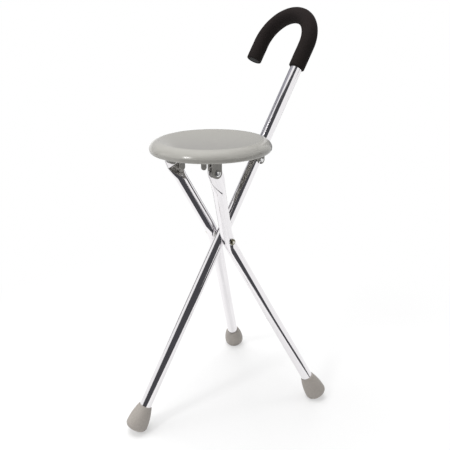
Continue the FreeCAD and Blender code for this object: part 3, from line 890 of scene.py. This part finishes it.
def makeSeatShell():
    outside = seatWall(0)
    inside = seatWall(seat["wall"])
    lip = (outside[-1][0] - inside[-1][0]) / 2
    lipCentre = (inside[-1][0] + lip, seat["lowEdge"] + lip)
    outside = [spot for spot in outside if spot[1] > lipCentre[1]]
    inside = [spot for spot in inside if spot[1] > lipCentre[1]]
    rounded = arcProfile(lipCentre, lip, 0, -math.pi, seat["edgeSteps"])
    profile = outside + rounded + inside[::-1]
    return turnedMesh("seatShell", profile, seatBase, upward, seat["sideCount"])


finished("seatShell", makeSeatShell(), seatPlastic, "seat", "grey_plastic", "seat_shell")
print("seat ready")

# Ribs, rings and screw bosses inside the seat

ribs = {
    "count": 12,
    "start": 0.008,
    "end": 0.1026,
    "low": 0.5106,
    "topHalf": 0.0011,
    "lowHalf": 0.0008,
    "rings": (0.0324, 0.067),
    "ringSideCount": 96,
    "columns": 24,
    "clearance": 0.001,
    "platesTop": 0.5146,
}


def wallMiddle():
    # the middle of the seat's wall, which the ribs reach up into
    return [spot for spot in seatWall(seat["wall"] / 2) if spot[1] > ribs["low"]]


def heightInWall(radius):
    spots = wallMiddle()
    for (nearer, low), (further, high) in zip(spots, spots[1:]):
        if nearer <= radius <= further:
            return low + (high - low) * (radius - nearer) / (further - nearer)
    return spots[0][1]


def ribMesh():
    # one upright blade, thinner at its lower edge, drawn from the seat's centre outwards
    bm = bmesh.new()
    rings = []
    for radius in alongArc(ribs["start"], ribs["end"], ribs["columns"]):
        top = heightInWall(radius)
        corners = ((-ribs["lowHalf"], ribs["low"]), (ribs["lowHalf"], ribs["low"]),
                   (ribs["topHalf"], top), (-ribs["topHalf"], top))
        rings.append([bm.verts.new((radius, side, height)) for side, height in corners])
    for before, after in zip(rings, rings[1:]):
        for corner in range(4):
            following = (corner + 1) % 4
            bm.faces.new((before[corner], before[following], after[following], after[corner]))
    bm.faces.new(rings[0])
    bm.faces.new(rings[-1])
    return outwardMesh("rib", bm)


def boxesMesh(name, boxes):
    bm = bmesh.new()
    for low, high in boxes:
        middle = (low + high) / 2
        size = high - low
        bmesh.ops.create_cube(bm, size=1, matrix=Matrix.Translation(middle) @ Matrix.Diagonal((*size, 1)))
    return plainMesh(name, bm)


def joinedMesh(name, meshes):
    bm = bmesh.new()
    for mesh in meshes:
        bm.from_mesh(mesh)
    return plainMesh(name, bm)


def makeRibs():
    rings = []
    for radius in ribs["rings"]:
        top = heightInWall(radius)
        inner = radius - ribs["topHalf"]
        outer = radius + ribs["topHalf"]
        profile = [(inner, ribs["low"]), (outer, ribs["low"]), (outer, top), (inner, top)]
        rings.append(turnedMesh("ring", profile, seatBase, upward, ribs["ringSideCount"], loop=True))
    clear = []
    margin = Vector((ribs["clearance"], ribs["clearance"], ribs["clearance"]))
    for plateNode in ("right_hinge_bracket", "left_hinge_bracket", "stick_catch", "stick_cradle"):
        low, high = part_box(plateNode)
        floorCorner = Vector((*(low - margin).xy, seat["lowEdge"]))
        topCorner = Vector((*(high + margin).xy, ribs["platesTop"]))
        clear.append((floorCorner, topCorner))
    rib = template("rib", ribMesh())
    clearance = template("clearance", boxesMesh("clearance", clear))
    mesh = grownMesh("seatRibs", joinedMesh("rings", rings), spokeTree(), Rib=rib, Clearance=clearance,
                     Count=ribs["count"], Centre=seatBase, Finish=seatPlastic)
    finished("seatRibs", mesh, seatPlastic, "seat", "grey_plastic")


makeRibs()
print("ribs ready")

# Screws, nuts and bosses, each modelled once and set on its points by one tree

repeated = repeatTree()
screws = {
    "bracketHead": 0.0035,
    "bracketHeight": 0.0022,
    "bracketShank": 0.00175,
    "bracketLength": 0.0073,
    "hingeHead": 0.005,
    "hingeHeight": 0.0034,
    "hingeShank": 0.0025,
    "hingeLength": 0.0218,
    "rimShare": 0.45,
    "rimFoot": 0.3,
    "undersideShare": 0.95,
    "tipBevel": 0.3,
    "tipShare": 0.7,
    "domeRings": 20,
    "sideCount": 48,
    "sharpAngle": 40,
    "recessReach": 0.54,
    "recessEndSlope": 10,
    "recessHalf": 0.11,
    "recessEdge": 0.5,
    "recessDepth": 0.42,
    "seed": 7,
}
bossSizes = {
    "footRadius": 0.0041,
    "radius": 0.0045,
    "footShare": 0.06,
    "sideCount": 32,
}
nut = {
    "width": 0.008,
    "height": 0.005,
    "bore": 0.00255,
    "chamfer": 0.0006,
    "flatShare": 0.47,
    "sideCount": 72,
    "sharpAngle": 35,
}


def screwMesh(name, head, height, shank, length):
    # a domed head with a cross recess, over a plain shank that ends in a small bevel
    rim = height * screws["rimShare"]
    profile = [(0, height)]
    for step in range(1, screws["domeRings"] + 1):
        share = step / screws["domeRings"]
        profile.append((head * share, rim + (height - rim) * (1 - share ** 2)))
    profile += [(head, rim * screws["rimFoot"]), (head * screws["undersideShare"], 0), (shank, 0),
                (shank, -length + shank * screws["tipBevel"]), (shank * screws["tipShare"], -length),
                (0, -length)]
    mesh = turnedMesh(name, profile, Vector(), upward, screws["sideCount"])
    half = screws["recessHalf"]
    edge = screws["recessEdge"]
    for vert in mesh.vertices:
        if vert.co.z < rim:
            continue
        along = max(abs(vert.co.x), abs(vert.co.y)) / head
        beside = min(abs(vert.co.x), abs(vert.co.y)) / head
        inward = min(1, max(0, (screws["recessReach"] - along) * screws["recessEndSlope"]))
        inward *= min(1, max(0, (half * (1 + edge) - beside) / (half * edge)))
        vert.co.z -= inward * screws["recessDepth"] * height
    return mesh


def nutMesh():
    corner = nut["width"] / math.sqrt(3)
    flat = nut["width"] * nut["flatShare"]
    height = nut["height"]
    chamfer = nut["chamfer"]
    profile = [(nut["bore"], 0), (flat, 0), (corner, chamfer), (corner, height - chamfer), (flat, height),
               (nut["bore"], height)]
    mesh = turnedMesh("nut", profile, Vector(), upward, nut["sideCount"], loop=True)
    for vert in mesh.vertices:
        reach = 0.0
        for step in range(6):
            angle = math.radians(60 * step)
            reach = max(reach, vert.co.x * math.cos(angle) + vert.co.y * math.sin(angle))
        if reach > nut["width"] / 2:
            vert.co.xy *= nut["width"] / 2 / reach
    return mesh


def sharpened(mesh, degrees):
    # smooth faces, split where they meet at more than the given angle
    mesh.shade_smooth()
    mesh.set_sharp_from_angle(angle=math.radians(degrees))
    return mesh


def setOnPoints(name, piece, places, facings, material, slotName, *stoodFor, stretches=None, turn=0.0):
    points = pointCloud(name + "Points", places, facings, stretches)
    mesh = grownMesh(name, points, repeated, Piece=template(name + "One", piece), Seed=screws["seed"],
                     **{"Most Turn": turn}, Finish=material)
    finished(name, mesh, material, "seat", slotName, *stoodFor)


def islandBoxes(nodeName):
    # the lowest and highest corner of each separate solid, so that repeats stand where the frame has them
    bm = mergedCopy(nodeName)
    boxes = []
    left = set(bm.verts)
    while left:
        island = [left.pop()]
        for vert in island:
            for edge in vert.link_edges:
                other = edge.other_vert(vert)
                if other in left:
                    left.remove(other)
                    island.append(other)
        low = Vector([min(vert.co[axis] for vert in island) for axis in range(3)])
        high = Vector([max(vert.co[axis] for vert in island) for axis in range(3)])
        boxes.append((low, high))
    bm.free()
    return sorted(boxes, key=lambda box: (round(box[0].y, 4), round(box[0].x, 4)))


def makeFasteners():
    boxes = islandBoxes("bracket_screws")
    heads = [Vector((*((low + high) / 2).xy, low.z + screws["bracketHeight"])) for low, high in boxes]
    screw = sharpened(screwMesh("bracketScrew", screws["bracketHead"], screws["bracketHeight"],
                                screws["bracketShank"], screws["bracketLength"]), screws["sharpAngle"])
    setOnPoints("bracketScrews", screw, heads, [-upward] * len(heads), brightSteel, "zinc_steel",
                "bracket_screws", turn=math.pi)
    bossBase = ribs["platesTop"]
    rises = [heightInWall((Vector((head.x, head.y, 0)) - seatBase).length) - bossBase for head in heads]
    # one metre tall, and stretched down to each boss's own rise
    wide = bossSizes["radius"]
    profile = [(0, 0), (bossSizes["footRadius"], 0), (wide, bossSizes["footShare"]), (wide, 1), (0, 1)]
    boss = sharpened(turnedMesh("boss", profile, Vector(), upward, bossSizes["sideCount"]),
                     screws["sharpAngle"])
    feet = [Vector((head.x, head.y, bossBase)) for head in heads]
    setOnPoints("seatBosses", boss, feet, [upward] * len(feet), seatPlastic, "grey_plastic",
                stretches=[(1, 1, rise) for rise in rises])
    screw = sharpened(screwMesh("hingeScrew", screws["hingeHead"], screws["hingeHeight"],
                                screws["hingeShank"], screws["hingeLength"]), screws["sharpAngle"])
    bearing = []
    outward = []
    for low, high in islandBoxes("hinge_screws"):
        side = 1 if low.y > 0 else -1
        head = high.y if side > 0 else low.y
        bearing.append(Vector((hinge.x, head - side * screws["hingeHeight"], hinge.z)))
        outward.append(across * side)
    setOnPoints("hingeScrews", screw, bearing, outward, brightSteel, "zinc_steel", "hinge_screws",
                turn=math.pi)
    seats = []
    inward = []
    for low, high in islandBoxes("hinge_nuts"):
        side = 1 if low.y > 0 else -1
        seats.append(Vector((hinge.x, high.y if side > 0 else low.y, hinge.z)))
        inward.append(across * -side)
    setOnPoints("hingeNuts", sharpened(nutMesh(), nut["sharpAngle"]), seats, inward, brightSteel,
                "zinc_steel", "hinge_nuts")


makeFasteners()
print("fasteners ready")

# Brackets, catch and cradle: the frame's shapes with their moulded edges rounded

brackets = {
    "rounding": 0.0007,
    "segments": 2,
    "roundedAngle": 35,
    "joinAngle": 1.0,
    "nodes": {
        "right_hinge_bracket": "rightHingeBracket",
        "left_hinge_bracket": "leftHingeBracket",
        "stick_catch": "stickCatch",
        "stick_cradle": "stickCradle",
    },
}


def roundedCopy(nodeName, name):
    bm = mergedCopy(nodeName)
    bmesh.ops.dissolve_limit(bm, angle_limit=math.radians(brackets["joinAngle"]), verts=bm.verts,
                             edges=bm.edges)
    source = outwardMesh(name, bm)
    source.shade_smooth()
    holder = inScene(name, source)
    bevel = holder.modifiers.new("edges", "BEVEL")
    bevel.width = brackets["rounding"]
    bevel.segments = brackets["segments"]
    bevel.limit_method = "ANGLE"
    bevel.angle_limit = math.radians(brackets["roundedAngle"])
    bevel.harden_normals = True
    mesh = bakedMesh(holder)
    finished(name, mesh, bracketPlastic, "seat", "grey_plastic", nodeName)


for nodeName, pieceName in brackets["nodes"].items():
    roundedCopy(nodeName, pieceName)
print("brackets ready")

# CAD nodes that stay as they are get their finish

finishes = {
    "leg_ferrule_washers": zincSteel,
    # the bolt head's material carries a painted highlight and painted shade
    "pivot_bolt": boltHead,
    "pivot_cap_nut": zincSteel,
    "pivot_outer_washers": brightSteel,
    "pivot_spacers": whiteNylon,
    "stick_pivot_bush": whiteNylon,
    "stick_ferrule_washer": zincSteel,
    "catch_pin": brightSteel,
    "hinge_washers": whiteNylon,
}
for nodeName, material in finishes.items():
    node = frame["nodes"][nodeName]
    node.data.materials.clear()
    node.data.materials.append(material)
print("kept nodes finished")

# Camera

photo = {
    "place": (-0.6442, -0.8323, 0.7348),
    "azimuth": 37.39,
    "pitch": 19.67,
    "roll": -0.62,
    "focalPixels": 593.8,
    "framePixels": 450,
    "sensorWidth": 36,  # millimetres
}


def makeCamera():
    azimuth = math.radians(photo["azimuth"])
    pitch = math.radians(photo["pitch"])
    roll = math.radians(photo["roll"])
    level = math.cos(pitch)
    forward = Vector((math.sin(azimuth) * level, math.cos(azimuth) * level, -math.sin(pitch)))
    right = Vector((math.cos(azimuth), -math.sin(azimuth), 0))
    above = right.cross(forward)
    cameraX = right * math.cos(roll) + above * math.sin(roll)
    cameraY = above * math.cos(roll) - right * math.sin(roll)
    data = bpy.data.cameras.new("camera")
    data.sensor_width = photo["sensorWidth"]
    data.lens = data.sensor_width * photo["focalPixels"] / photo["framePixels"]
    camera = inScene("camera", data)
    turned = Matrix((cameraX, cameraY, -forward)).transposed().to_4x4()
    camera.matrix_world = Matrix.Translation(photo["place"]) @ turned
    scene.camera = camera


makeCamera()

# Studio: a white floor and world, soft lamps, and dark cards that only reflections show

studio = {
    "floorHalf": 30.0,
    "floorColour": (0.93, 0.93, 0.93),
    "floorRoughness": 0.9,
    "glowNear": 0.5,
    "glowFrom": 0.35,
    "glowTo": 0.8,
    "fill": 0.3,
    "lamps": (
        {"place": (-1.75, -0.12, 1.95), "width": 0.36, "power": 13, "gloss": True},
        {"place": (-0.15, 0.4, 2.6), "width": 2.0, "power": 70, "gloss": False},
    ),
    "lookAt": (-0.02, 0.0, 0.42),
}


def makeLamp(place, width, power, gloss):
    data = bpy.data.lights.new("lamp", "AREA")
    data.shape = "SQUARE"
    data.size = width
    data.energy = power
    lamp = inScene("lamp", data)
    lamp.location = place
    lamp.rotation_mode = "QUATERNION"
    lamp.rotation_quaternion = (Vector(studio["lookAt"]) - Vector(place)).to_track_quat("-Z", "Y")
    lamp.visible_glossy = gloss


for lampValues in studio["lamps"]:
    makeLamp(**lampValues)


def anyOf(tree, *rays):
    # 1 for a ray of any of the given kinds
    strongest = rays[0]
    for ray in rays[1:]:
        larger = addNode(tree, "ShaderNodeMath", (0, strongest), (1, ray), operation="MAXIMUM")
        strongest = larger.outputs["Value"]
    return strongest


def glowOf(tree, colour):
    return addNode(tree, "ShaderNodeEmission", ("Color", (*colour, 1)), ("Strength", 1.0)).outputs["Emission"]


def makeWorld():
    world = bpy.data.worlds.new("studioWorld")
    scene.world = world
    world.use_nodes = True
    tree = world.node_tree
    background = tree.nodes["Background"]
    background.inputs["Color"].default_value = (1, 1, 1, 1)
    rays = addNode(tree, "ShaderNodeLightPath").outputs
    seen = anyOf(tree, rays["Is Camera Ray"], rays["Is Glossy Ray"], rays["Is Transmission Ray"])
    strength = addNode(tree, "ShaderNodeMapRange", ("Value", seen), ("To Min", studio["fill"]),
                       ("To Max", 1.0))
    tree.links.new(strength.outputs["Result"], background.inputs["Strength"])


makeWorld()


def makeFloor():
    # a pale floor that keeps its shadows near the object and glows white further out
    half = studio["floorHalf"]
    mesh = bpy.data.meshes.new("floor")
    corners = [(-half, -half, 0), (half, -half, 0), (half, half, 0), (-half, half, 0)]
    mesh.from_pydata(corners, [], [(0, 1, 2, 3)])
    floor = inScene("floor", mesh)
    material, tree, shader = newMaterial("floorWhite", studio["floorColour"], studio["floorRoughness"])
    rays = addNode(tree, "ShaderNodeLightPath").outputs
    seen = anyOf(tree, rays["Is Camera Ray"], rays["Is Glossy Ray"])
    reach = addNode(tree, "ShaderNodeVectorMath", (0, objectPlace(tree)), operation="LENGTH")
    rise = addNode(tree, "ShaderNodeMapRange", ("Value", reach.outputs["Value"]),
                   ("From Min", studio["glowFrom"]), ("From Max", studio["glowTo"]),
                   ("To Min", studio["glowNear"]), interpolation_type="SMOOTHSTEP")
    share = addNode(tree, "ShaderNodeMath", (0, seen), (1, rise.outputs["Result"]), operation="MULTIPLY")
    mix = addNode(tree, "ShaderNodeMixShader", ("Fac", share.outputs["Value"]), (1, shader.outputs["BSDF"]),
                  (2, glowOf(tree, (1, 1, 1))))
    tree.links.new(mix.outputs["Shader"], tree.nodes["Material Output"].inputs["Surface"])
    mesh.materials.append(material)


makeFloor()

# Azimuths are as a compass's from +Y towards +X, about the pivot. A ring is a radius and a height.
cardSteps = 24
cardBlue = 1.1  # how much stronger a card's blue is than its grey
cards = (
    {"from": -88, "to": -184, "rings": ((1.3, 0.0), (1.3, 0.8)), "grey": 0.07},
    {"from": -88, "to": -176, "rings": ((1.3, 0.8), (1.3, 2.1)), "grey": 0.07},
    {"from": -84, "to": -212, "rings": ((0.44, 0.001), (1.3, 0.002)), "grey": 0.07},
    {"from": -37, "to": -22, "rings": ((1.3, 0.2), (1.3, 1.6)), "grey": 0.05},
    {"from": 138, "to": 110, "rings": ((1.3, 0.55), (1.3, 1.0)), "grey": 0.05},
    {"from": 30, "to": 70, "rings": ((1.5, 0.1), (1.5, 1.5)), "grey": 0.2},
    {"from": -18, "to": 30, "rings": ((1.5, 0.68), (1.5, 1.5)), "grey": 0.35},
    {"from": -60, "to": 110, "rings": ((1.5, 1.5), (0.9, 2.6)), "grey": 0.45},
)


def makeCard(name, card):
    bm = bmesh.new()
    columns = []
    for azimuth in alongArc(card["from"], card["to"], cardSteps):
        angle = math.radians(azimuth)
        way = Vector((math.sin(angle), math.cos(angle), 0))
        places = [Vector((pivot.x, 0, height)) + way * radius for radius, height in card["rings"]]
        columns.append([bm.verts.new(place) for place in places])
    for before, after in zip(columns, columns[1:]):
        bm.faces.new((before[0], after[0], after[1], before[1]))
    mesh = plainMesh(name, bm)
    piece = inScene(name, mesh)
    material, tree = newMaterial(name, (0, 0, 0), 1.0)[:2]
    glow = glowOf(tree, (card["grey"], card["grey"], card["grey"] * cardBlue))
    tree.links.new(glow, tree.nodes["Material Output"].inputs["Surface"])
    mesh.materials.append(material)
    piece.visible_camera = False
    piece.visible_diffuse = False
    piece.visible_shadow = False
    piece.visible_transmission = False


for place, card in enumerate(cards):
    makeCard("card" + str(place + 1), card)
print("studio ready")
